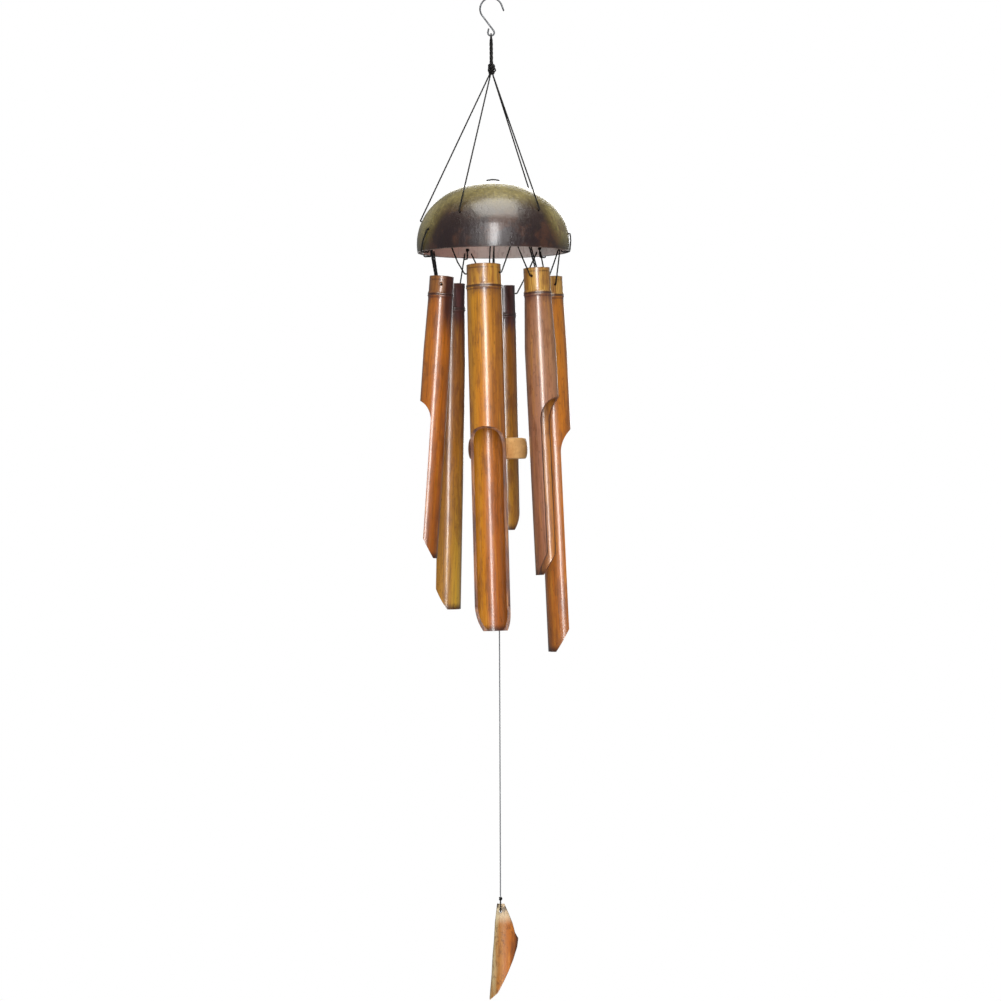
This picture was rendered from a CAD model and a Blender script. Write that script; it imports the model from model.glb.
import math
from collections import namedtuple

import bmesh
import bpy
from mathutils import Matrix, Vector, noise


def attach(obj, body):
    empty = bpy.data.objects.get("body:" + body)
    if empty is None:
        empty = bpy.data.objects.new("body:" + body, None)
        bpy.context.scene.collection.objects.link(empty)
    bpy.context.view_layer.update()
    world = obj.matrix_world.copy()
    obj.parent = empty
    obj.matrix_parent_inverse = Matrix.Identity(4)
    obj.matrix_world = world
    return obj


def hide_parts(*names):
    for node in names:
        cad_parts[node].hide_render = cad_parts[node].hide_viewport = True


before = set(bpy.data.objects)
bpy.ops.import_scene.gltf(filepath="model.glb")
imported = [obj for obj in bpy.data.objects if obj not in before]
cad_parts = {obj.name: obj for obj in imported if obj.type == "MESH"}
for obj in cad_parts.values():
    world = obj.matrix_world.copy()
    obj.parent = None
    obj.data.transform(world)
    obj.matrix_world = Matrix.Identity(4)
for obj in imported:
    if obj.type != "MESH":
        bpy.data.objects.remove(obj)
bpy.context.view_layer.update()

# Sizes are in millimetres, as in the CAD, until a mesh is made. Angles are in degrees, measured
# from the front (-Y) towards the right (+X).
MM = 0.001


def polar(r, a, z):
    return Vector((r * math.sin(math.radians(a)), -r * math.cos(math.radians(a)), z))


# ---------------------------------------------------------------- sizes, as in the CAD
WIRE_R = 0.7
CORD_D = 1.2
CORD_R = CORD_D / 2
BEND_R = 9.1
BEND_Z = -8.4
EYE_R = 2.6
EYE_X = -0.3
EYE_Z = -27.7
SHANK_DROP = 19.3
HOOK_START_A = 20
HOOK_TIP = 5.2
TANGENT_A = math.degrees(math.asin((BEND_R + EYE_R) / SHANK_DROP))
LOOP_Z = -30.3
CROWN_TOP_Z = -52.3
CROWN_FOOT_Z = -61.3

SHELL_R = 63.0
SHELL_RISE = 50.4
SHELL_SKIRT = 7.7
SHELL_WALL = 4.5
INNER_R = 58.5
INNER_RISE = 46.0
EQUATOR_Z = -200.0
RIM_Z = EQUATOR_Z - SHELL_SKIRT
APEX_Z = EQUATOR_Z + SHELL_RISE
ANCHOR_R = 55.0
ANCHOR_Z = -204.3
TIE_KNOT_Z = -202.0
TIE_R = 56.1
SHELL_HOLE_D = 2.6
APEX_HOLE_X = 5.2
STOPPER_DEPTH = 2.3

# Angle from the front and height over the shell's widest line, for each suspension hole
SUSPENSION = [(-90, 18), (-28, 21), (41, 22.6), (139, 21)]
# Angle at the rim, angle of the shell hole, height of that hole (0: comes down inside)
TIES = [(-68, -58, 9), (-41, -28, 0), (17.5, 41, 0), (80, 80, 6), (137, 137, 5), (203, 203, 5),
        (246, 246, 5)]

RING_R = 45.5
BAMBOO_WALL = 2.5
HOLE_DROP = 7.0
HOLE_GAP = 1.3
CROSS_HOLE_D = 2.4
FLARE_LENGTH = 45.0
# For each tube: angle round the ring, length, diameter, drop of the top below the shell's widest
# line, node and notch below the top, lean outwards, sway sideways, hole offset as a share of the
# radius, flare below the node, turn of the notch
Tube = namedtuple("Tube", "angle length dia drop node notch lean sway share flare turn")
TUBES = [
    Tube(290, 229, 20.4, 28.1, 15, 102, 4.5, 0, 0.35, 1.0, -22),
    Tube(230, 270, 22.4, 30.5, 21, 124, 2.5, -0.4, 0.26, 1.2, 0),
    Tube(350, 294, 28.2, 21.3, 17.7, 131, 3, 1.5, 0.26, 0.3, 0),
    Tube(170, 204, 20, 31.4, 24.6, 96, 3, 0, 0.26, 0.2, 0),
    Tube(50, 248, 21.9, 23.2, 20.5, 105, 2.9, 0, 0.26, 1.8, 22),
    Tube(104, 308, 25.5, 27.3, 15.7, 125.5, 2.2, 0, 0.26, 0.8, 0),
]
ANCHORS = [(-66.5, -69.5), (244, 206), (15.5, -39), (200, 139), (78, 19.5), (135, 82)]
SAGS = [(0, 0), (0.5, 0.5), (0.4, 2.5), (0.5, 1), (0.5, 0.5), (0.5, 0.5)]

CENTRE_PIVOT_Z = APEX_Z - 10.4
STRIKER_X = 2.0
STRIKER_Z = -368.4
STRIKER_D = 49.0
STRIKER_H = 17.0
STRIKER_KNOT_Z = STRIKER_Z - STRIKER_H / 2 - 2.4
CATCHER_X = 0.5
CATCHER_Z = -747.5
CATCHER_SIDE = 3.3


def dome_r(a, b, h):
    return a * math.sqrt(max(0.0, 1 - h * h / (b * b)))


def shell_outer(h):
    return dome_r(SHELL_R, SHELL_RISE, h)


def shell_inner(h):
    return dome_r(INNER_R, INNER_RISE, h)


def suspension_point(i, d):
    """Where suspension cord i meets the shell, d outside its surface."""
    a, h = SUSPENSION[i]
    n = Vector((shell_outer(h) / SHELL_R ** 2, h / SHELL_RISE ** 2)).normalized()
    return polar(shell_outer(h) + d * n[0], a, EQUATOR_Z + h + d * n[1])


# ---------------------------------------------------------------- material helpers
def rgb(code):
    """A linear colour from a hex code."""
    parts = [int(code[i:i + 2], 16) / 255 for i in (0, 2, 4)]
    return tuple(((c + 0.055) / 1.055) ** 2.4 if c > 0.04045 else c / 12.92 for c in parts) + (1,)


class Paint:
    """A node material under construction."""

    def __init__(self, name):
        self.mat = bpy.data.materials.new(name)
        self.mat.use_nodes = True
        self.tree = self.mat.node_tree
        self.bsdf = self.tree.nodes["Principled BSDF"]

    def put(self, socket, value):
        if isinstance(value, bpy.types.NodeSocket):
            self.tree.links.new(value, socket)
        else:
            socket.default_value = value

    def node(self, kind, inputs=(), **props):
        n = self.tree.nodes.new("ShaderNode" + kind)
        for key, value in props.items():
            setattr(n, key, value)
        for key, value in dict(inputs).items():
            self.put(n.inputs[key], value)
        return n

    def math(self, operation, a, b=0.0):
        return self.node("Math", {0: a, 1: b}, operation=operation).outputs[0]

    def span(self, value, low, high, to_low=0.0, to_high=1.0):
        n = self.node("MapRange", {0: value, 1: low, 2: high, 3: to_low, 4: to_high},
                      interpolation_type="SMOOTHSTEP")
        return n.outputs[0]

    def mix(self, factor, a, b):
        n = self.node("Mix", data_type="RGBA")
        for key, value in ((0, factor), (6, a), (7, b)):
            self.put(n.inputs[key], value)
        return n.outputs[2]

    def tint(self, colour, value, low, high, amount, code):
        """Mixes in a hex colour as value goes from low to high."""
        return self.mix(self.span(value, low, high, 0, amount), colour, rgb(code))

    def ramp(self, value, stops):
        n = self.node("ValToRGB", {0: value})
        ramp = n.color_ramp
        while len(ramp.elements) < len(stops):
            ramp.elements.new(0.5)
        for element, (place, colour) in zip(ramp.elements, stops):
            element.position = place
            element.color = colour
        return n.outputs[0]

    def attribute(self, name):
        return self.node("Attribute", attribute_name=name).outputs["Vector"]

    def scaled(self, vector, scale):
        return self.node("VectorMath", {0: vector, 1: scale}, operation="MULTIPLY").outputs[0]

    def noise(self, vector, scale, detail=3.0, rough=0.55):
        n = self.node("TexNoise", {"Vector": vector, "Scale": scale, "Detail": detail,
                                   "Roughness": rough})
        return n.outputs["Fac"]

    def split(self, vector):
        return self.node("SeparateXYZ", {0: vector}).outputs

    def bump(self, height, depth, strength=1.0, under=None):
        n = self.node("Bump", {"Height": height, "Distance": depth, "Strength": strength})
        if under is not None:
            self.put(n.inputs["Normal"], under)
        return n.outputs[0]

    def finish(self, **inputs):
        for key, value in inputs.items():
            self.put(self.bsdf.inputs[key.replace("_", " ")], value)
        return self.mat


def cord_paint(name, dark, light, fibre):
    """Twisted cord: fibres, uneven dye and a dull sheen."""
    p = Paint(name)
    place = p.attribute("local")
    fibres = p.noise(place, fibre, 4)
    wear = p.noise(place, 220, 3)
    colour = p.mix(p.span(fibres, 0.35, 0.7), dark, light)
    colour = p.mix(p.span(wear, 0.5, 0.8, 0, 0.45), colour, light)
    return p.finish(Base_Color=colour, Roughness=p.span(wear, 0.3, 0.7, 0.5, 0.72),
                    Specular_IOR_Level=0.18, Normal=p.bump(fibres, 0.00012, 0.7))


def wire_paint():
    p = Paint("galvanised_wire")
    place = p.attribute("local")
    drawn = p.noise(p.scaled(place, (1, 1, 0.12)), 2600, 3)
    patches = p.noise(place, 260, 4)
    colour = p.ramp(patches, [(0.3, rgb("3C3D3F")), (0.55, rgb("5E6063")), (0.75, rgb("8A8C8E"))])
    return p.finish(Base_Color=colour, Metallic=0.85,
                    Roughness=p.span(patches, 0.3, 0.7, 0.28, 0.5),
                    Normal=p.bump(drawn, 0.00003, 0.5))


def bamboo_paint(name, stops, left, right, node, length, stain=0.0, stain_edge=10.0, stub=None,
                 stain_way=None, inside=False):
    """Lacquered bamboo. The local attribute is the tube's own frame in metres, z from its top.
    stops is [(millimetres below the top, colour)]. left and right tint the two sides."""
    p = Paint(name)
    place = p.attribute("local")
    x, y, z = p.split(place)
    down = p.math("MULTIPLY", z, -1000 / length)
    fibres = p.noise(p.scaled(place, (1, 1, 0.04)), 1000, 4, 0.65)
    streaks = p.noise(p.scaled(place, (1, 1, 0.06)), 330, 5, 0.65)
    clouds = p.noise(p.scaled(place, (1, 1, 0.3)), 110, 5, 0.65)
    specks = p.noise(p.scaled(place, (1, 1, 0.5)), 700, 2)
    colour = p.ramp(down, [(mm / length, rgb(code)) for mm, code in stops])
    around = p.math("ADD", p.math("MULTIPLY", y, 90), p.math("MULTIPLY", streaks, 0.5))
    colour = p.mix(p.span(around, 0.1, -0.75, 0, 0.6), colour, rgb(left))
    colour = p.mix(p.span(around, 0.35, 1.15, 0, 0.62), colour, rgb(right))
    colour = p.tint(colour, streaks, 0.51, 0.66, 0.38, "4C2A0C")
    colour = p.tint(colour, streaks, 0.47, 0.35, 0.3, "B47C22")
    colour = p.tint(colour, clouds, 0.51, 0.64, 0.5, "5C2E10")
    colour = p.tint(colour, fibres, 0.5, 0.66, 0.4, "3A2008")
    colour = p.tint(colour, specks, 0.6, 0.72, 0.4, "270F07")
    drop = p.math("MULTIPLY", z, -1000)
    ragged = p.math("ADD", drop, p.math("MULTIPLY", p.math("SUBTRACT", streaks, 0.5), 34))
    if stub:
        above = p.span(p.math("ADD", drop, p.math("MULTIPLY", fibres, 2)), node + 1.5, node - 0.5)
        pale = p.mix(p.span(streaks, 0.46, 0.58, 0, 0.7), rgb(stub), rgb("7C4A1A"))
        pale = p.tint(pale, fibres, 0.5, 0.62, 0.6, "56300E")
        pale = p.tint(pale, clouds, 0.5, 0.6, 0.6, "5E3414")
        colour = p.mix(above, colour, pale)
    if stain:
        dyed = p.mix(p.span(clouds, 0.4, 0.65), rgb("2A1215"), rgb("4C2A2A"))
        reach = p.span(ragged, stain + stain_edge, stain - stain_edge, 0, 0.92)
        if stain_way:
            facing = p.math("ADD", p.math("MULTIPLY", x, 1000 * stain_way[0]),
                            p.math("MULTIPLY", y, 1000 * stain_way[1]))
            reach = p.math("MULTIPLY", reach, p.span(facing, 0.5, 6))
        colour = p.mix(reach, colour, dyed)
    band = p.math("MULTIPLY", p.span(drop, node + 10, node + 2), p.span(drop, node, node + 1))
    band = p.math("MULTIPLY", band, p.span(clouds, 0.38, 0.56, 0.1, 0.7))
    colour = p.mix(band, colour, rgb("40201C"))
    scratch = p.math("ABSOLUTE", p.math("SUBTRACT", drop, 3.2))
    scratch = p.math("MULTIPLY", p.span(scratch, 0.8, 0.2), p.span(clouds, 0.4, 0.55, 0, 0.75))
    colour = p.mix(scratch, colour, rgb("40200C"))
    ring = p.math("ABSOLUTE", p.math("SUBTRACT", drop, node + 0.1))
    colour = p.tint(colour, ring, 1.5, 0.35, 0.85, "2C1410")
    ring_2 = p.math("ABSOLUTE", p.math("SUBTRACT", drop, node + 2.6))
    colour = p.tint(colour, ring_2, 0.9, 0.2, 0.6, "3A1A12")
    lip = p.span(drop, 1.1, 0.1, 0, 0.7)
    colour = p.mix(lip, colour, rgb("54300F"))
    ragged_tip = p.math("ADD", drop, p.math("MULTIPLY", fibres, 3))
    tip = p.span(ragged_tip, length - 5, length + 1, 0, 0.9)
    colour = p.mix(tip, colour, rgb("2E140A"))
    normal = p.bump(fibres, 0.00018 if inside else 0.0001, 0.6)
    normal = p.bump(streaks, 0.0006, 0.5, normal)
    return p.finish(Base_Color=colour, Roughness=p.span(clouds, 0.3, 0.7, 0.3, 0.46),
                    Specular_IOR_Level=0.42, Coat_Weight=0.7 if inside else 0.9,
                    Coat_Roughness=p.span(fibres, 0.35, 0.7, 0.16, 0.27), Normal=normal)


def cut_paint():
    """Sawn bamboo wall: pale dotted fibre ends under varnish, dark along the bark."""
    p = Paint("bamboo_cut_edge")
    place = p.attribute("local")
    dots = p.node("TexVoronoi", {"Vector": p.scaled(place, (1, 1, 0.25)),
                                 "Scale": 1900}).outputs[0]
    streaks = p.noise(p.scaled(place, (1, 1, 0.1)), 420, 4)
    colour = p.ramp(streaks, [(0.3, rgb("2C130A")), (0.5, rgb("5C3013")), (0.72, rgb("8C5A28"))])
    colour = p.tint(colour, dots, 0.3, 0.05, 0.6, "34180A")
    return p.finish(Base_Color=colour, Roughness=0.5, Coat_Weight=0.35, Coat_Roughness=0.25,
                    Normal=p.bump(dots, 0.00015, 0.6))


def shell_paint():
    """Polished coconut shell: olive-gold crown, dark brown belly, fibre streaks and specks."""
    p = Paint("polished_coconut")
    place = p.attribute("local")
    x, y, z = p.split(place)
    height = p.math("MULTIPLY", z, 1000 / (SHELL_RISE + SHELL_SKIRT))
    fibres = p.noise(p.scaled(place, (1, 1, 0.4)), 380, 6, 0.7)
    clouds = p.noise(place, 52, 6, 0.65)
    specks = p.noise(place, 1100, 3, 0.6)
    side = p.span(p.math("ABSOLUTE", x), 0.034, 0.06)
    wander = p.math("ADD", height, p.math("MULTIPLY", p.math("SUBTRACT", clouds, 0.5), 0.42))
    wander = p.math("ADD", wander, p.math("MULTIPLY", side, 0.62))
    wander = p.math("ADD", wander, p.math("MULTIPLY", p.math("SUBTRACT", fibres, 0.5), 0.2))
    colour = p.ramp(wander, [(0.12, rgb("1E1010")), (0.36, rgb("281812")), (0.48, rgb("443614")),
                             (0.62, rgb("6A5E30")), (0.88, rgb("94885A"))])
    colour = p.tint(colour, fibres, 0.5, 0.66, 0.45, "20160A")
    pale = p.math("MULTIPLY", p.span(fibres, 0.5, 0.36, 0, 0.4), p.span(wander, 0.38, 0.7))
    colour = p.mix(pale, colour, rgb("B2A56E"))
    rust = p.math("MULTIPLY", p.span(clouds, 0.5, 0.62, 0, 0.5), p.span(height, 0.55, 0.2))
    colour = p.mix(rust, colour, rgb("4A2A18"))
    colour = p.tint(colour, specks, 0.56, 0.66, 0.6, "160E0A")
    normal = p.bump(specks, 0.00025, 0.7)
    normal = p.bump(fibres, 0.0006, 0.7, normal)
    return p.finish(Base_Color=colour, Roughness=p.span(clouds, 0.3, 0.7, 0.26, 0.42),
                    Specular_IOR_Level=0.5, Coat_Weight=0.7,
                    Coat_Roughness=p.span(specks, 0.3, 0.7, 0.12, 0.28), Normal=normal)


def shell_inside_paint():
    p = Paint("coconut_inside")
    place = p.attribute("local")
    x, y, z = p.split(place)
    fibres = p.noise(p.scaled(place, (1, 1, 0.4)), 460, 5, 0.65)
    clouds = p.noise(place, 70, 4)
    side = p.math("ADD", p.math("MULTIPLY", x, 9), p.math("MULTIPLY", clouds, 0.5))
    colour = p.ramp(side, [(0.0, rgb("D6B0A4")), (0.3, rgb("E8DCD6")), (0.75, rgb("F0EEEC"))])
    colour = p.tint(colour, fibres, 0.52, 0.68, 0.35, "7A5A52")
    return p.finish(Base_Color=colour, Roughness=0.62, Coat_Weight=0.15, Coat_Roughness=0.4,
                    Normal=p.bump(fibres, 0.0005, 0.6))


def shell_rim_paint():
    p = Paint("coconut_cut_rim")
    place = p.attribute("local")
    grain = p.noise(place, 900, 5, 0.7)
    colour = p.ramp(grain, [(0.3, rgb("2A1C17")), (0.5, rgb("5C4A40")), (0.7, rgb("8C8078"))])
    return p.finish(Base_Color=colour, Roughness=0.6, Coat_Weight=0.2,
                    Normal=p.bump(grain, 0.0003, 0.7))


def wood_paint():
    """Turned disc: light side grain on the right, red-brown heart on the left."""
    p = Paint("striker_wood")
    place = p.attribute("local")
    x, y, z = p.split(place)
    warp = p.noise(place, 70, 3)
    rings = p.node("TexWave", {"Vector": place, "Scale": 150, "Distortion": 5.0, "Detail": 3.0},
                   wave_type="RINGS", rings_direction="Z").outputs["Fac"]
    pores = p.noise(p.scaled(place, (1, 1, 0.3)), 1400, 4, 0.65)
    side = p.math("ADD", p.math("MULTIPLY", x, 32), warp)
    colour = p.ramp(side, [(0.0, rgb("5A2818")), (0.35, rgb("7E4526")), (0.62, rgb("B47E44")),
                           (0.85, rgb("CDA065"))])
    colour = p.mix(p.math("MULTIPLY", rings, 0.28), colour, rgb("8A5224"))
    colour = p.tint(colour, pores, 0.54, 0.72, 0.5, "5C3013")
    normal = p.bump(rings, 0.0002, 0.35, p.bump(pores, 0.0002, 0.6))
    return p.finish(Base_Color=colour, Roughness=0.42, Coat_Weight=0.4, Coat_Roughness=0.22,
                    Normal=normal)


def catcher_paint():
    """Split bamboo leaf: pale beige strip on the left, orange-brown grain, dark right edge."""
    p = Paint("catcher_bamboo")
    place = p.attribute("local")
    x, y, z = p.split(place)
    fibres = p.noise(p.scaled(place, (1, 1, 0.05)), 1300, 4, 0.6)
    streaks = p.noise(p.scaled(place, (1, 1, 0.1)), 230, 4)
    across = p.math("ADD", p.math("MULTIPLY", x, 34), p.math("MULTIPLY", z, -2.5))
    across = p.math("ADD", across, p.math("MULTIPLY", p.math("SUBTRACT", streaks, 0.5), 0.55))
    colour = p.ramp(p.math("ADD", across, 0.42),
                    [(0.12, rgb("A69C80")), (0.34, rgb("94805A")), (0.46, rgb("8A5A22")),
                     (0.72, rgb("94520F")), (0.86, rgb("6A3810")), (0.98, rgb("1E0E06"))])
    colour = p.tint(colour, fibres, 0.52, 0.74, 0.5, "5E3210")
    colour = p.tint(colour, streaks, 0.46, 0.36, 0.35, "B87A34")
    mottle = p.noise(p.scaled(place, (1, 1, 0.6)), 420, 4, 0.65)
    colour = p.tint(colour, mottle, 0.52, 0.62, 0.5, "4E2A10")
    top = p.span(z, -0.012, -0.002, 0, 0.7)
    colour = p.mix(top, colour, rgb("B4A688"))
    stained = p.math("MULTIPLY", p.span(z, -0.006, 0.0055, 0, 0.9), p.span(mottle, 0.42, 0.54))
    colour = p.mix(stained, colour, rgb("24150E"))
    return p.finish(Base_Color=colour, Roughness=0.36, Coat_Weight=0.6, Coat_Roughness=0.16,
                    Normal=p.bump(streaks, 0.0003, 0.4, p.bump(fibres, 0.0001, 0.6)))


BLACK = cord_paint("black_cord", rgb("030303"), rgb("161413"), 2600)
GREY = cord_paint("grey_cord", rgb("34373A"), rgb("83868A"), 3400)
WIRE = wire_paint()
CUT = cut_paint()


# ---------------------------------------------------------------- mesh helpers
def make_object(name, verts, faces, materials, indices=None, move=None, sharp=40):
    """A mesh from points in millimetres. Its local attribute keeps them, in metres, before move
    puts them in place."""
    mesh = bpy.data.meshes.new(name)
    mesh.from_pydata([Vector(v) * MM for v in verts], [], faces)
    for m in materials:
        mesh.materials.append(m)
    if indices is not None:
        mesh.polygons.foreach_set("material_index", indices)
    obj = bpy.data.objects.new(name, mesh)
    bpy.context.collection.objects.link(obj)
    settle(obj, move, sharp)
    return obj


def settle(obj, move=None, sharp=40):
    """Merges doubles, turns normals out, writes the local attribute and moves the mesh."""
    mesh = obj.data
    bm = bmesh.new()
    bm.from_mesh(mesh)
    bmesh.ops.remove_doubles(bm, verts=bm.verts, dist=2e-6)
    bmesh.ops.dissolve_degenerate(bm, edges=bm.edges, dist=1e-6)
    bmesh.ops.recalc_face_normals(bm, faces=bm.faces)
    bm.to_mesh(mesh)
    bm.free()
    old = mesh.attributes.get("local")
    if old:
        mesh.attributes.remove(old)
    local = mesh.attributes.new("local", "FLOAT_VECTOR", "POINT")
    flat = [0.0] * (3 * len(mesh.vertices))
    mesh.vertices.foreach_get("co", flat)
    local.data.foreach_set("vector", flat)
    if move is not None:
        mesh.transform(move)
    mesh.polygons.foreach_set("use_smooth", [True] * len(mesh.polygons))
    mesh.set_sharp_from_angle(angle=math.radians(sharp))
    mesh.update()


def place(obj, body, slot, *nodes):
    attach(obj, body)
    if nodes:
        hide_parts(*nodes)
    return obj


def join(verts, faces, more_verts, more_faces):
    """Adds a second mesh to the lists of a first."""
    faces += [[i + len(verts) for i in face] for face in more_faces]
    verts += more_verts


def drill(obj, starts, ends, diameter):
    """Cuts round holes between pairs of points in millimetres."""
    verts, faces = [], []
    for a, b in zip(starts, ends):
        join(verts, faces, *tube_mesh([a, b], lambda s, t: diameter / 2, 20))
    mesh = bpy.data.meshes.new("drill")
    mesh.from_pydata([Vector(v) * MM for v in verts], [], faces)
    mesh.materials.append(obj.data.materials[-1])
    cutter = bpy.data.objects.new("drill", mesh)
    bpy.context.collection.objects.link(cutter)
    mod = obj.modifiers.new("holes", "BOOLEAN")
    mod.operation = "DIFFERENCE"
    mod.solver = "EXACT"
    mod.object = cutter
    bpy.context.view_layer.update()
    graph = bpy.context.evaluated_depsgraph_get()
    result = bpy.data.meshes.new_from_object(obj.evaluated_get(graph))
    obj.modifiers.clear()
    obj.data = result
    bpy.data.objects.remove(cutter)


def chaikin(path, rounds=3):
    for _ in range(rounds):
        new = [path[0]]
        for a, b in zip(path, path[1:]):
            new += [a.lerp(b, 0.25), a.lerp(b, 0.75)]
        path = new + [path[-1]]
    return path


def length_of(path):
    return sum((b - a).length for a, b in zip(path, path[1:]))


def even(path, step):
    """The path again, in equal steps of about step."""
    total = length_of(path)
    count = max(2, round(total / step))
    out, run, k = [path[0]], 0.0, 0
    for i in range(1, count):
        goal = total * i / count
        while run + (path[k + 1] - path[k]).length < goal:
            run += (path[k + 1] - path[k]).length
            k += 1
        piece = (path[k + 1] - path[k]).length
        out.append(path[k].lerp(path[k + 1], (goal - run) / piece))
    return out + [path[-1]]


def softened(points, trim=1.2, step=0.5):
    """A path with its corners rounded off over trim, in equal steps."""
    points = [Vector(p) for p in points]
    out = [points[0]]
    for a, p, b in zip(points, points[1:], points[2:]):
        near = p + (a - p).normalized() * min(trim, 0.45 * (a - p).length)
        far = p + (b - p).normalized() * min(trim, 0.45 * (b - p).length)
        out += [near, p, far]
    out.append(points[-1])
    return even(chaikin(out), step)


def frames(path):
    """Heading and two side directions at each point, without twist."""
    out, side = [], None
    for i, p in enumerate(path):
        ahead = (path[min(i + 1, len(path) - 1)] - path[max(i - 1, 0)]).normalized()
        if side is None:
            side = Vector((0, 0, 1)) if abs(ahead.z) < 0.9 else Vector((1, 0, 0))
        side = (side - ahead * side.dot(ahead)).normalized()
        out.append((p, side, ahead.cross(side)))
    return out


def tube_mesh(path, radius, sides):
    """A closed tube round a path; radius(distance, angle) is in millimetres."""
    verts, faces, run = [], [], 0.0
    rings = frames(path)
    for i, (p, u, v) in enumerate(rings):
        if i:
            run += (p - rings[i - 1][0]).length
        for k in range(sides):
            t = 2 * math.pi * k / sides
            r = radius(run, t)
            verts.append(p + u * (r * math.cos(t)) + v * (r * math.sin(t)))
    for i in range(len(rings) - 1):
        for k in range(sides):
            a, b = i * sides + k, i * sides + (k + 1) % sides
            faces.append([a, b, b + sides, a + sides])
    faces.append(list(range(sides - 1, -1, -1)))
    faces.append([(len(rings) - 1) * sides + k for k in range(sides)])
    return verts, faces


def twisted(d, lay, strands=3):
    """Radius of a laid cord: its strands show as a spiral of lobes."""
    def radius(s, t):
        lobe = abs(math.cos(strands / 2 * (t - 2 * math.pi * s / (lay * strands))))
        return d / 2 * (0.8 + 0.24 * lobe)
    return radius


def cord_piece(name, points, d, body, nodes, paint=BLACK, slot="black_cord",
               trim=1.2):
    path = softened(points, trim)
    verts, faces = tube_mesh(path, twisted(d, 2.6 * d), 12)
    obj = make_object(name, verts, faces, [paint], sharp=80)
    place(obj, body, slot, *nodes)


def knot_mesh(centre, radii, d, turns, wraps, phase=0.0):
    """A tight knot: one cord wound over a small dark core."""
    path, count = [], 48 * wraps
    for i in range(count + 1):
        t = 2 * math.pi * i / count
        out = 0.62 + 0.38 * math.cos(wraps * t + phase)
        path.append(Vector(centre) + Vector((
            radii[0] * out * math.cos(turns * t + phase),
            radii[1] * out * math.sin(turns * t + phase),
            radii[2] * math.sin(wraps * t + phase))))
    verts, faces = tube_mesh(path, twisted(d, 2.6 * d), 10)
    join(verts, faces, *ball([r * 0.72 for r in radii], centre))
    return verts, faces


def ball(radii, centre, rows=12, columns=20):
    verts = [Vector(centre) + Vector((0, 0, radii[2]))]
    for i in range(1, rows):
        a = math.pi * i / rows
        for k in range(columns):
            t = 2 * math.pi * k / columns
            verts.append(Vector(centre) + Vector((radii[0] * math.sin(a) * math.cos(t),
                                                  radii[1] * math.sin(a) * math.sin(t),
                                                  radii[2] * math.cos(a))))
    verts.append(Vector(centre) - Vector((0, 0, radii[2])))
    last = len(verts) - 1
    faces = [[0, 1 + k, 1 + (k + 1) % columns] for k in range(columns)]
    for i in range(rows - 2):
        for k in range(columns):
            a, b = 1 + i * columns + k, 1 + i * columns + (k + 1) % columns
            faces.append([a, a + columns, b + columns, b])
    base = 1 + (rows - 2) * columns
    faces += [[last, base + (k + 1) % columns, base + k] for k in range(columns)]
    return verts, faces


def knots(name, items, body, nodes, d=0.95):
    """One piece of several knots, each (centre, radius)."""
    verts, faces = [], []
    for j, (centre, r) in enumerate(items):
        r -= d / 2
        join(verts, faces, *knot_mesh(centre, [r, r, r * 0.85], d, 2, 3, j * 1.3))
    return place(make_object(name, verts, faces, [BLACK], sharp=80), body, "black_cord", *nodes)


# ---------------------------------------------------------------- camera
camera_data = bpy.data.cameras.new("camera")
camera_data.lens = 106.7
camera_data.sensor_width = 36
camera = bpy.data.objects.new("camera", camera_data)
bpy.context.collection.objects.link(camera)
camera.matrix_world = (Matrix.Translation((0.0037, -2.43, -0.411))
                       @ Matrix.Rotation(math.radians(90), 4, "X")
                       @ Matrix.Rotation(math.radians(-0.56), 4, "Z"))
bpy.context.scene.camera = camera


# ---------------------------------------------------------------- hook and loop
def arc_points(x, z, r, start, turn, steps):
    """Points of an arc in the X-Z plane."""
    angles = [math.radians(start + turn * i / steps) for i in range(steps + 1)]
    return [Vector((x + r * math.cos(a), 0, z + r * math.sin(a))) for a in angles]


bend = arc_points(0, BEND_Z, BEND_R, HOOK_START_A, 180 - HOOK_START_A + TANGENT_A, 60)
eye = arc_points(EYE_X, EYE_Z, EYE_R, TANGENT_A, -(180 + TANGENT_A), 48)
tip_a = math.radians(HOOK_START_A)
tip = bend[0] + HOOK_TIP * Vector((math.sin(tip_a), 0, -math.cos(tip_a)))
hook_path = even([tip] + bend + eye + [Vector((EYE_X - EYE_R + 0.7, 0, EYE_Z + 3.4))], 0.5)
hook_length = length_of(hook_path)


def hook_radius(s, t):
    """Round wire with filed ends and faint tool marks."""
    end = min(s, hook_length - s)
    return WIRE_R * (1 - 0.28 * max(0.0, 1 - end / 0.7) ** 2 - 0.012 * (1 + math.sin(s * 1.9)))


verts, faces = tube_mesh(hook_path, hook_radius, 20)
place(make_object("s_hook_wire", verts, faces, [WIRE]), "hook", "wire", "s_hook")

bight_r = WIRE_R + 0.3 + CORD_R
LOOP_FOOT_Z = CROWN_TOP_Z - 1.6


def shank_radius(s, t):
    """The cord is whipped along the shank and bare round the eye."""
    bare = min(1.0, max(0.0, (s - 20) / 5))
    wraps = 0.06 * math.sin(2 * math.pi * s / 0.9)
    return (1.22 + wraps) * (1 - bare) + CORD_R * bare


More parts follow.
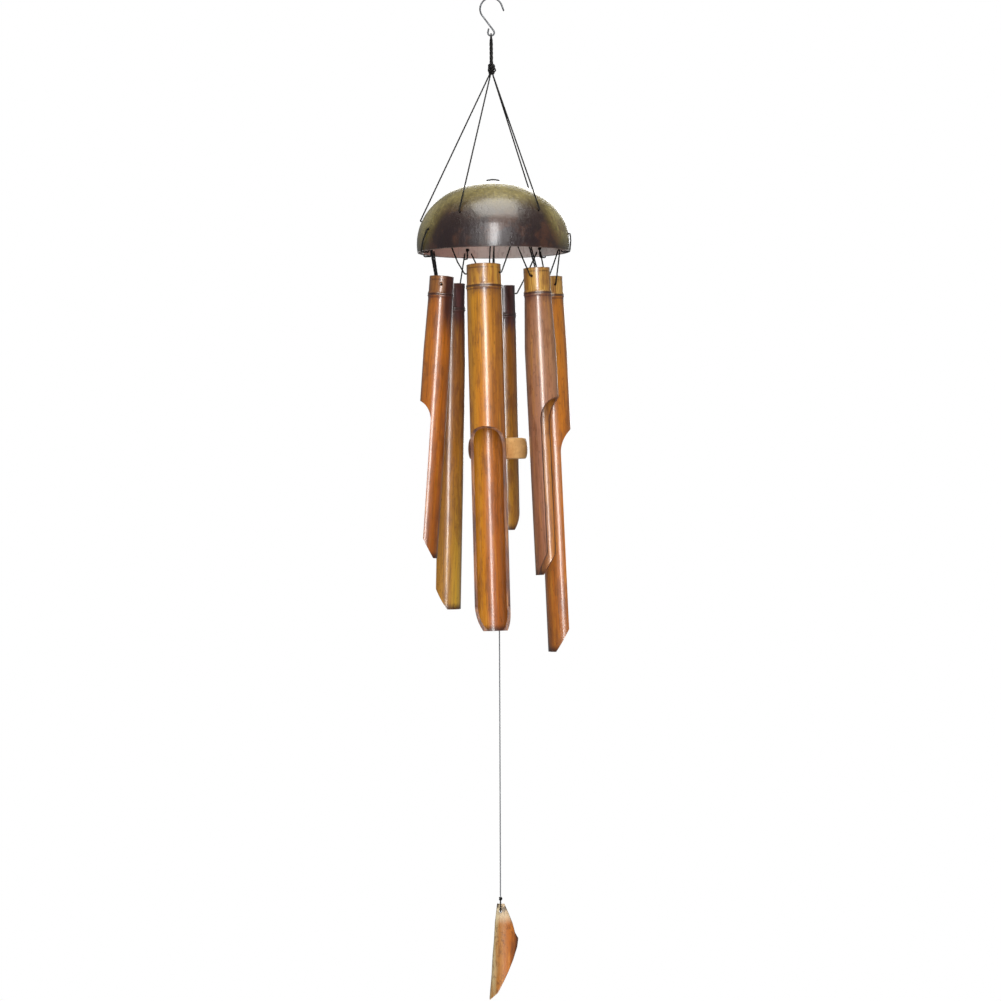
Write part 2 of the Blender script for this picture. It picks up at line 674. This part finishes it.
arc = [Vector((EYE_X, bight_r * math.cos(a), LOOP_Z + bight_r * math.sin(a)))
       for a in (math.pi * i / 24 for i in range(25))]
verts, faces = [], []
for half in (0, 1):
    path = []
    for i in range(61):
        share = i / 60
        a = math.pi * half + math.pi / 2 + 2 * math.pi * 3.2 * share
        twist = Vector((math.cos(a), math.sin(a), 0)) * 0.28
        side = Vector((0, bight_r * (1 if half else -1), 0))
        blend = max(0.0, (share - 0.72) / 0.28)
        path.append(Vector((EYE_X, 0, LOOP_FOOT_Z + (LOOP_Z - LOOP_FOOT_Z) * share))
                    + twist.lerp(side, blend * blend * (3 - 2 * blend)))
    if half:
        path += arc[1:]
    join(verts, faces, *tube_mesh(even(path, 0.4), shank_radius, 12))
place(make_object("hanging_loop_cord", verts, faces, [BLACK], sharp=80), "loop", "black_cord",
      "hanging_loop")

# ---------------------------------------------------------------- crown and suspension
verts, faces = [], []
for j, (x, drop, r) in enumerate([(0, 3.3, 2.9), (0.4, 5.7, 3.3), (0, 7.9, 2.5)]):
    join(verts, faces, *knot_mesh((EYE_X + x, 0, CROWN_TOP_Z - drop),
                                  [r - 0.35, r - 0.35, r * 0.62], 1.25,
                                  2 + j % 2, 5 - j % 2, 1.1 * j))
place(make_object("crown_knot_cord", verts, faces, [BLACK], sharp=80), "canopy", "black_cord",
      "crown_knot")

for i, (angle, height) in enumerate(SUSPENSION):
    start = polar(1.2, angle, CROWN_FOOT_Z) + Vector((EYE_X, 0, 0))
    cord_piece(f"suspension_line_{i + 1}",
               [start, suspension_point(i, 1), suspension_point(i, -SHELL_WALL - 2)],
               CORD_D, "canopy", [f"suspension_cord_{i + 1}"], trim=1)
knots("suspension_stopper_knots",
      [(suspension_point(i, -SHELL_WALL - STOPPER_DEPTH), 2.0) for i in range(4)],
      "canopy", ["suspension_knots"])


# ---------------------------------------------------------------- coconut shell
def shell_mesh():
    """Outer skin, cut rim and inner skin of the half shell, with its natural unevenness."""
    columns, rows = 192, 64
    verts, faces, indices = [], [], []

    def skin(a, b, sign):
        start = math.asin(-SHELL_SKIRT / b)
        base = len(verts)
        for i in range(rows):
            t = start + (math.pi / 2 - start) * i / rows
            for k in range(columns):
                w = 2 * math.pi * k / columns
                r, h = a * math.cos(t), b * math.sin(t)
                p = Vector((r * math.sin(w), -r * math.cos(w), h))
                wave = noise.noise(p * 0.045 + Vector((3, 1, 2)) * sign)
                fine = noise.noise(p * 0.32 + Vector((9, 4, 7)) * sign)
                fade = min(1.0, i / 6)
                verts.append(p * (1 - fade * (0.0035 * (1 + wave) + 0.0012 * (1 + fine))))
        verts.append(Vector((0, 0, b * 0.996)))
        for i in range(rows - 1):
            for k in range(columns):
                p, q = base + i * columns + k, base + i * columns + (k + 1) % columns
                faces.append([p, q, q + columns, p + columns][::sign])
        top = len(verts) - 1
        for k in range(columns):
            p = base + (rows - 1) * columns
            faces.append([p + k, p + (k + 1) % columns, top][::sign])
        return base

    outside = skin(SHELL_R, SHELL_RISE, 1)
    indices += [0] * len(faces)
    inside = skin(INNER_R, INNER_RISE, -1)
    indices += [1] * (len(faces) - len(indices))
    steps = 6
    rings = [outside]
    for s in range(1, steps):
        rings.append(len(verts))
        for k in range(columns):
            p = verts[outside + k].lerp(verts[inside + k], s / steps)
            saw = 0.18 * (1 + noise.noise(p * 0.5))
            verts.append(p + Vector((0, 0, saw)))
    rings.append(inside)
    for a, b in zip(rings, rings[1:]):
        for k in range(columns):
            n = (k + 1) % columns
            faces.append([a + k, b + k, b + n, a + n])
    indices += [2] * (len(faces) - len(indices))
    return verts, faces, indices


verts, faces, indices = shell_mesh()
shell = make_object("coconut_half_shell", verts, faces,
                    [shell_paint(), shell_inside_paint(), shell_rim_paint()], indices)
down = Vector((0, 0, EQUATOR_Z))
drill(shell, [suspension_point(i, 6) - down for i in range(4)]
      + [polar(INNER_R - 8, t[1], t[2]) for t in TIES if t[2]]
      + [Vector((APEX_HOLE_X * s, 0, SHELL_RISE - 8)) for s in (-1, 1)],
      [suspension_point(i, -8) - down for i in range(4)]
      + [polar(INNER_R + 8, t[1], t[2]) for t in TIES if t[2]]
      + [Vector((APEX_HOLE_X * s, 0, SHELL_RISE + 4)) for s in (-1, 1)], SHELL_HOLE_D)
settle(shell, Matrix.Translation(down * MM))
place(shell, "canopy", "shell", "coconut_shell")

# ---------------------------------------------------------------- ties at the rim
tie_side = CORD_R + 0.35
for k, (rim_a, hole_a, height) in enumerate(TIES, 1):
    if height:
        route = [
            polar(shell_inner(height) - 1.5, hole_a, EQUATOR_Z + height),
            polar(shell_outer(height) + tie_side, hole_a, EQUATOR_Z + height),
            polar(SHELL_R + tie_side, (rim_a + hole_a) / 2, EQUATOR_Z),
            polar(shell_outer(SHELL_SKIRT) + tie_side, rim_a, RIM_Z + 0.2),
            polar(shell_outer(SHELL_SKIRT) + 0.71 * tie_side, rim_a, RIM_Z - 0.71 * tie_side),
            polar(shell_outer(SHELL_SKIRT) - 0.2, rim_a, RIM_Z - tie_side),
            polar(shell_inner(SHELL_SKIRT) - tie_side, rim_a, RIM_Z - tie_side),
            polar(TIE_R, rim_a, RIM_Z + 2),
            polar(TIE_R, rim_a, TIE_KNOT_Z),
        ]
    else:
        route = [
            suspension_point(k - 1, -SHELL_WALL - STOPPER_DEPTH) + Vector((0, 0, -2.4)),
            polar(55.2, hole_a * 0.6 + rim_a * 0.4, EQUATOR_Z + 9),
            polar(TIE_R, rim_a, TIE_KNOT_Z),
        ]
    cord_piece(f"rim_tie_cord_{k}", route, CORD_D, "canopy", [f"rim_tie_{k}"])
knots("rim_tie_knots", [(polar(TIE_R, t[0], TIE_KNOT_Z + 0.7), 1.6) for t in TIES], "canopy",
      [f"rim_tie_{k}" for k in range(1, 8)], 0.85)


# ---------------------------------------------------------------- tubes
def tube_frame(k):
    """Puts tube k's own frame (x outwards, z up from its top, in metres) where it hangs."""
    tube = TUBES[k]
    u = tube.share * tube.dia / 2
    return (Matrix.Rotation(math.radians(tube.angle - 90), 4, "Z")
            @ Matrix.Translation(Vector((RING_R + u, 0, EQUATOR_Z - tube.drop - HOLE_DROP)) * MM)
            @ Matrix.Rotation(math.radians(tube.sway), 4, "X")
            @ Matrix.Rotation(math.radians(-tube.lean), 4, "Y")
            @ Matrix.Translation(Vector((-u, 0, HOLE_DROP)) * MM))


def tube_point(k, p):
    return (tube_frame(k) @ (Vector(p) * MM)) / MM


def ridge(d, node):
    """How far the bark stands out, d below the top, at and round the node."""
    marks = [(-999, -0.3), (node - 12, -0.15), (node - 3, -0.1), (node - 1.6, 0.2),
             (node - 0.7, 0.66), (node, 0.2), (node + 0.8, 0.75), (node + 1.8, 0.2),
             (node + 3.5, 0.0), (9999, 0.0)]
    for (a, low), (b, high) in zip(marks, marks[1:]):
        if a <= d <= b:
            t = (d - a) / (b - a)
            return low + (high - low) * t * t * (3 - 2 * t)
    return 0.0


def tube_geometry(k):
    """One tube as rows of columns: bark outside, lacquered wall inside, sawn faces between."""
    length, node, notch, flare = (TUBES[k].length, TUBES[k].node, TUBES[k].notch,
                                  TUBES[k].flare)
    stub_r = TUBES[k].dia / 2
    r, bore = stub_r + flare, stub_r + flare - BAMBOO_WALL
    cut_u = 0.08 * r
    w = r - cut_u
    scoop_h = 1.6 * w
    scoop_r = (w * w + scoop_h * scoop_h) / (2 * w)
    tip_rise = 1.35 * r
    foot_u = -0.72 * r

    def opening(d):
        """How far out the notch leaves the wall, d below the top."""
        if d <= notch:
            return 9 * r
        if d < notch + scoop_h:
            up = notch + scoop_h - d
            return cut_u + scoop_r - math.sqrt(scoop_r ** 2 - up ** 2)
        if d <= length - tip_rise:
            return cut_u
        return foot_u + (length - d) / tip_rise * (cut_u - foot_u)

    def steps(a, b, size):
        n = max(1, round((b - a) / size))
        return [a + (b - a) * i / n for i in range(n)]

    depths = (steps(0, node - 4, 1.2) + steps(node - 4, node + 5, 0.4)
              + steps(node + 5, notch, 2.2)
              + [notch + scoop_h * (i / 26) ** 1.7 for i in range(26)]
              + steps(notch + scoop_h, length - tip_rise, 2.0)
              + steps(length - tip_rise, length, 0.7) + [length])
    columns = 96
    seed = Vector((k * 7.3, k * 3.1, k * 5.7))
    verts, faces, indices = [], [], []

    def row(d, radius, wobble):
        """Columns + 1 points round the tube at depth d, from one notch edge to the other."""
        x = opening(d)
        start = 0.0 if x >= radius else math.acos(max(-1.0, x / radius))
        out = []
        for c in range(columns + 1):
            a = start + (2 * math.pi - 2 * start) * c / columns
            spin = Vector((math.cos(a), math.sin(a), 0))
            n = noise.noise(spin * 1.3 + Vector((0, 0, d * 0.012)) + seed)
            rib = noise.noise(spin * 7 + Vector((0, 0, d * 0.01)) + seed)
            rr = radius + wobble * (0.16 * (n - 1) * 0.5 + 0.05 * (rib - 1) * 0.5)
            p = spin * rr
            if d > notch and c in (0, columns):
                p.x = min(p.x, x)
            z = -d
            if d == 0:
                z -= 0.55 * abs(noise.noise(spin * 2.3 + seed * 1.7))
            out.append(Vector((p.x, p.y, z)))
        return out

    def sheet(rows, slot, flip):
        base = len(verts)
        width = len(rows[0])
        for line in rows:
            verts.extend(line)
        for i in range(len(rows) - 1):
            for c in range(width - 1):
                a, b = base + i * width + c, base + i * width + c + 1
                quad = [a, b, b + width, a + width]
                faces.append(quad[::-1] if flip else quad)
                indices.append(slot)

    def swell(d):
        return flare * min(1.0, max(0.0, (d - node - 3.5) / (FLARE_LENGTH - 3.5)))

    outer = [row(d, stub_r + swell(d) + ridge(d, node), 1.0) for d in depths]
    sheet(outer, 0, True)
    floor_up, floor_down = node - 1.2, node + 1.2
    stub = [0.0] + [d for d in depths if 0 < d < floor_up - 0.3] + [floor_up]
    barrel = [floor_down] + [d for d in depths if d > floor_down + 0.3]
    stub_in = [row(d, stub_r - BAMBOO_WALL, 0.6) for d in stub]
    barrel_in = [row(d, stub_r - BAMBOO_WALL + swell(d), 0.6) for d in barrel]
    for p, q in zip(stub_in[0], outer[0]):
        p.z = q.z
    sheet(stub_in, 1, False)
    sheet(barrel_in, 1, False)
    lip = [[a.lerp(b, t) for a, b in zip(outer[0], stub_in[0])] for t in (0, 0.33, 0.66, 1)]
    sheet(lip, 2, True)
    foot = [[a.lerp(b, t) for a, b in zip(outer[-1], barrel_in[-1])] for t in (0, 0.5, 1)]
    sheet(foot, 2, False)
    for line, flip in ((stub_in[-1], True), (barrel_in[0], False)):
        z = line[0].z
        rings = [line] + [[Vector((p.x * s, p.y * s, z + (0.5 if flip else -0.5) * (1 - s)))
                           for p in line] for s in (0.75, 0.5, 0.25, 0.0)]
        sheet(rings, 1, flip)
    first = next(i for i, d in enumerate(depths) if d > notch) - 1
    shift = len(depths) - len(barrel_in)
    for end in (0, columns):
        strip = []
        for i in range(first, len(depths)):
            d, edge = depths[i], outer[i][end]
            x = opening(d)
            if x >= bore:
                mid = Vector((min(x, edge.x), 0, -d))
            else:
                mid = barrel_in[i - shift][end]
            strip.append([edge.lerp(mid, t) for t in (0, 0.34, 0.67, 1)])
        sheet(strip, 2, end == 0)
    spin = Matrix.Rotation(math.radians(TUBES[k].turn), 3, "Z")
    return [spin @ v for v in verts], faces, indices


TUBE_LOOKS = [
    dict(stops=[(0, "6A3E1A"), (16, "905012"), (60, "AC6412"), (120, "985414"), (180, "7C4414"),
                (229, "5A2E0E")], left="A86A16", right="8A4A12", stub="7C4E22", stain=42,
         stain_edge=14, stain_way=(-1, 0.4)),
    dict(stops=[(0, "341818"), (28, "5C2E12"), (80, "84501A"), (150, "8C5C1A"), (210, "967020"),
                (270, "A07E28")], left="74461A", right="8A5418", stain=31, stain_edge=9),
    dict(stops=[(0, "A0742A"), (20, "A06A12"), (80, "A86A12"), (130, "A46014"), (200, "9A5418"),
                (294, "8A4A14")], left="AC7818", right="6A3A0E", stub="A27428"),
    dict(stops=[(0, "301619"), (40, "8A5414"), (90, "A0661A"), (150, "AA761E"), (204, "A4741E")],
         left="683A10", right="905A10", stain=36, stain_edge=7),
    dict(stops=[(0, "A87A30"), (21, "7C5234"), (70, "8C6242"), (130, "8A5C42"), (200, "8A5840"),
                (248, "6A4026")], left="80543C", right="A66818", stub="AA8036"),
    dict(stops=[(0, "AA8038"), (18, "A86C16"), (80, "B46C10"), (160, "AA620E"), (240, "A25C14"),
                (308, "6C3C10")], left="90500E", right="BA7412", stub="B0863C"),
]
SLOTS = ["bamboo_brown", "bamboo_gold", "bamboo_brown", "bamboo_dark", "bamboo_dark",
         "bamboo_gold"]

for k, look in enumerate(TUBE_LOOKS):
    n = k + 1
    length, dia, node = TUBES[k].length, TUBES[k].dia, TUBES[k].node
    bark = bamboo_paint(f"bamboo_bark_{n}", node=node, length=length, **look)
    wall = bamboo_paint(f"bamboo_wall_{n}", node=node, length=length, inside=True,
                        **{key: v for key, v in look.items() if key in ("stops", "left", "right")})
    verts, faces, indices = tube_geometry(k)
    tube = make_object(f"bamboo_chime_{n}", verts, faces, [bark, wall, CUT], indices)
    u = TUBES[k].share * dia / 2
    drill(tube, [Vector((u, -dia, -HOLE_DROP))], [Vector((u, dia, -HOLE_DROP))], CROSS_HOLE_D)
    settle(tube, tube_frame(k), 35)
    place(tube, f"tube_{n}", SLOTS[k], f"bamboo_tube_{n}")


# ---------------------------------------------------------------- tube cords
def strand(k, end):
    r, share = TUBES[k].dia / 2, TUBES[k].share
    side = 1 if end == 0 else -1
    anchor = polar(ANCHOR_R, ANCHORS[k][end], ANCHOR_Z)
    hole = tube_point(k, (share * r, side * (r + HOLE_GAP - 0.4), -HOLE_DROP))
    return [anchor, (anchor + hole) / 2 - Vector((0, 0, SAGS[k][end])), hole]


def pair(k, tops, feet):
    """One cord that goes in at the tube's open top, round its cross cord and out again."""
    r, share = TUBES[k].dia / 2, TUBES[k].share
    lift = Vector((0, 0, CORD_R + 0.1))
    ends = [tube_point(k, (share * r, f, -HOLE_DROP)) + lift for f in feet]
    return [Vector(tops[0]), (2 * ends[0] + Vector(tops[0])) / 3, ends[0],
            ends[1], (2 * ends[1] + Vector(tops[1])) / 3, Vector(tops[1])]


for k in range(1, 6):
    right, left = strand(k, 0), strand(k, 1)
    cord_piece(f"tube_lace_{k + 1}", right + left[::-1], CORD_D, f"cord_{k + 1}",
               [f"tube_cord_{k + 1}"])
reach = TUBES[0].dia / 2 + 1
cord_piece("tube_lace_1_cross",
           [tube_point(0, (TUBES[0].share * TUBES[0].dia / 2, y, -HOLE_DROP))
            for y in (-reach, 0, reach)],
           CORD_D, "cord_1", ["tube_cord_1"])
cord_piece("tube_lace_1", pair(0, [polar(ANCHOR_R, a, ANCHOR_Z) for a in ANCHORS[0]],
                               [1.5, -1.5]), CORD_D, "cord_1", [])
FRONT_PAIR = [(-2.4, -49.3, ANCHOR_Z), (0.8, -48.8, ANCHOR_Z)]
RIGHT_PAIR = [(29.6, -40.6, ANCHOR_Z), (28.2, -42.4, ANCHOR_Z)]
cord_piece("tube_pair_3", pair(2, FRONT_PAIR, [5, 7.6]), CORD_D, "cord_3", [])
cord_piece("tube_pair_5", pair(4, RIGHT_PAIR, [-1, -3]), CORD_D, "cord_5", [])

for label, feet, gap, tops in (
        ("front", FRONT_PAIR, 0.9, [(-2.2, -3, -156), (2.2, -3, -156)]),
        ("right", RIGHT_PAIR, 1.7, [(6.2, -1.8, -156.4), (4.4, -3.4, -156.4)])):
    for i in (0, 1):
        top, foot = Vector(tops[i]), Vector(feet[i]) + Vector((0, 0, gap))
        cord_piece(f"inner_line_{label}_{i + 1}", [top, (top + foot) / 2, foot], CORD_D, "canopy",
                   [f"inner_cord_{label}"])

# ---------------------------------------------------------------- apex and centre line
half = [(1.1, 0, CENTRE_PIVOT_Z + 2.9), (APEX_HOLE_X, 0, APEX_Z - 6),
        (APEX_HOLE_X, 0, APEX_Z - 0.2), (4.4, 0, APEX_Z + 1), (0, 0, APEX_Z + 1.5)]
cord_piece("apex_arch_cord", half + [(-x, y, z) for x, y, z in half[-2::-1]], CORD_D, "canopy",
           ["apex_arch"], trim=0.8)
knots("apex_hanging_knot", [((0, 0, CENTRE_PIVOT_Z), 1.8)], "apex", ["apex_knot"], 0.85)
cord_piece("centre_line", [(0, 0, CENTRE_PIVOT_Z - 2.2), (1, 0, -265),
                           (STRIKER_X, 0, STRIKER_Z + 12), (STRIKER_X, 0, STRIKER_KNOT_Z + 2)],
           1.0, "line", ["centre_cord"], GREY, "grey_cord")
knots("striker_stop_knot", [((STRIKER_X, 0, STRIKER_KNOT_Z), 2.0)], "line", ["striker_knot"])
cord_piece("lower_line", [(STRIKER_X, 0, STRIKER_KNOT_Z - 2.4), (STRIKER_X, 0, -470),
                          (STRIKER_X - 0.4, 0, -560), (1, 0, -660),
                          (CATCHER_X, 0, CATCHER_Z + 12)],
           1.0, "lower", ["lower_cord"], GREY, "grey_cord")


# ---------------------------------------------------------------- striker
def striker_mesh():
    """Turned disc with a barrel edge, soft corners and a bore."""
    bulge, columns = 2.2, 144
    bore, edge_r, half_h = 2.0, STRIKER_D / 2, STRIKER_H / 2
    profile = [(bore, -half_h + 0.4), (bore + 0.4, -half_h)]
    profile += [(bore + 0.4 + (edge_r - bulge - bore - 0.4) * i / 22, -half_h)
                for i in range(1, 23)]
    profile += [(edge_r - bulge + bulge * math.cos(math.radians(a)),
                 half_h * math.sin(math.radians(a))) for a in range(-82, 83, 6)]
    profile += [(edge_r - bulge - (edge_r - bulge - bore - 0.4) * i / 22, half_h)
                for i in range(23)]
    profile += [(bore, half_h - 0.4)] + [(bore, half_h - 0.4 - (STRIKER_H - 0.8) * i / 8)
                                         for i in range(1, 8)]
    verts, faces = [], []
    for r, h in profile:
        for c in range(columns):
            a = 2 * math.pi * c / columns
            n = noise.noise(Vector((math.cos(a) * 2, math.sin(a) * 2, h * 0.1)))
            rr = r if r < 4 else r * (1 - 0.006 * (1 + n))
            verts.append(Vector((rr * math.cos(a), rr * math.sin(a), h)))
    rows = len(profile)
    for i in range(rows):
        for c in range(columns):
            a, b = i * columns + c, i * columns + (c + 1) % columns
            j = (i + 1) % rows
            faces.append([a, b, j * columns + (c + 1) % columns, j * columns + c])
    return verts, faces


verts, faces = striker_mesh()
place(make_object("striker_disc", verts, faces, [wood_paint()],
                  move=Matrix.Translation(Vector((STRIKER_X, 0, STRIKER_Z)) * MM)),
      "striker", "wood", "striker")

# ---------------------------------------------------------------- wind catcher
CATCHER_WALL = 2.8
CATCHER_R = 16.5
CATCHER_AXIS = (2.3, 14.9)
# Edges of the leaf, from its hole: (sideways, up)
LEFT_EDGE = [(-2.8, 6.6), (-4.8, -9.3), (-5.7, -24), (-6.9, -35.5), (-8, -52.8), (-9.8, -72),
             (-9.5, -73.1)]
RIGHT_EDGE = [(3, 6.6), (7, -2.8), (9.8, -10.2), (11.7, -18), (14.3, -23.1), (13.4, -29.5),
              (10, -39.7), (5.9, -49.5), (1.9, -57.7), (-2.8, -66.8), (-9.5, -73.1)]


def edge_at(edge, z):
    for (x0, z0), (x1, z1) in zip(edge, edge[1:]):
        if z1 <= z <= z0:
            return x0 + (x1 - x0) * (z0 - z) / (z0 - z1)
    return edge[-1][0]


def catcher_mesh():
    """A curved slice: front and back skins that meet in softened edges."""
    rows, columns = 110, 26
    verts, faces = [], []

    def depth(x, radius):
        return CATCHER_AXIS[1] - math.sqrt(radius ** 2 - (x - CATCHER_AXIS[0]) ** 2)

    for i in range(rows + 1):
        z = 6.6 - (6.6 + 72.9) * i / rows
        left, right = edge_at(LEFT_EDGE, z), edge_at(RIGHT_EDGE, z)
        ring = [(c, False) for c in range(columns + 1)]
        ring += [(c, True) for c in range(columns, -1, -1)]
        for c, back in ring:
            x, t = left + (right - left) * c / columns, c / columns
            front_y, back_y = depth(x, CATCHER_R), depth(x, CATCHER_R - CATCHER_WALL)
            near = min(t, 1 - t) * (right - left)
            soft = 0.42 * max(0.0, 1 - near / 0.8) ** 2
            grain = 0.07 * (1 + noise.noise(Vector((x * 0.9, back * 5, z * 0.05))))
            y = back_y - soft - grain if back else front_y + soft + grain
            verts.append(Vector((x, y, z)))
    width = 2 * (columns + 1)
    for i in range(rows):
        for c in range(width):
            a, b = i * width + c, i * width + (c + 1) % width
            faces.append([a, b, b + width, a + width])
    for base, flip in ((0, False), (rows * width, True)):
        for c in range(columns):
            quad = [base + c, base + width - 1 - c, base + width - 2 - c, base + c + 1]
            faces.append(quad[::-1] if flip else quad)
    return verts, faces


verts, faces = catcher_mesh()
catcher = make_object("wind_catcher_leaf", verts, faces, [catcher_paint()])
drill(catcher, [Vector((0, -12, 0))], [Vector((0, 14, 0))], CROSS_HOLE_D)
settle(catcher, Matrix.Translation(Vector((CATCHER_X, 0, CATCHER_Z)) * MM), 50)
place(catcher, "catcher", "catcher", "wind_catcher")

loop = [(0.4, 9.8), (CATCHER_SIDE, 8), (CATCHER_SIDE, 0), (-CATCHER_SIDE, 0),
        (-CATCHER_SIDE, 8), (-0.4, 9.8)]
cord_piece("catcher_loop_cord", [(CATCHER_X, y, CATCHER_Z + z) for y, z in loop], CORD_D, "lower",
           ["catcher_loop"], trim=1)
knots("catcher_loop_knot", [((CATCHER_X, 0, CATCHER_Z + 10.4), 1.6)], "lower",
      ["catcher_loop"], 0.85)

# ---------------------------------------------------------------- backdrop and light
bpy.ops.mesh.primitive_uv_sphere_add(segments=64, ring_count=32, radius=9)
backdrop = bpy.context.object
backdrop.name = "white_backdrop"
white = bpy.data.materials.new("backdrop_white")
white.use_nodes = True
white.node_tree.nodes.clear()
glow = white.node_tree.nodes.new("ShaderNodeEmission")
glow.inputs["Color"].default_value = (1, 1, 1, 1)
glow.inputs["Strength"].default_value = 1.0
surface = white.node_tree.nodes.new("ShaderNodeOutputMaterial")
white.node_tree.links.new(glow.outputs[0], surface.inputs["Surface"])
backdrop.data.materials.append(white)
backdrop.visible_diffuse = False
backdrop.visible_glossy = False
backdrop.visible_shadow = False

world = bpy.data.worlds.new("room")
world.use_nodes = True
world.node_tree.nodes["Background"].inputs["Color"].default_value = (0.9, 0.95, 1.0, 1)
world.node_tree.nodes["Background"].inputs["Strength"].default_value = 0.2
bpy.context.scene.world = world


def lamp(name, at, towards, size, power, colour=(1, 1, 1)):
    data = bpy.data.lights.new(name, "AREA")
    data.shape = "RECTANGLE"
    data.size, data.size_y = size
    data.energy = power
    data.color = colour
    obj = bpy.data.objects.new(name, data)
    bpy.context.collection.objects.link(obj)
    aim = (Vector(towards) - Vector(at)).to_track_quat("-Z", "Y")
    obj.matrix_world = Matrix.Translation(at) @ aim.to_matrix().to_4x4()
    obj.visible_camera = False


lamp("front_strip", (0.02, -3.0, 0.45), (0, 0, -0.35), (0.66, 2.6), 106)
lamp("top_softbox", (0.1, -0.5, 1.5), (0, 0, -0.2), (1.5, 1.3), 38, (1, 0.98, 0.9))
lamp("low_fill", (0.2, -1.2, -2.0), (0, 0, -0.3), (1.6, 1.2), 40, (1, 0.95, 0.92))
lamp("back_fill", (0.3, 2.8, 0.5), (0, 0, -0.35), (1.2, 1.8), 30)

bpy.context.scene.view_settings.view_transform = "Standard"
bpy.context.scene.view_settings.look = "None"

bpy.context.view_layer.update()
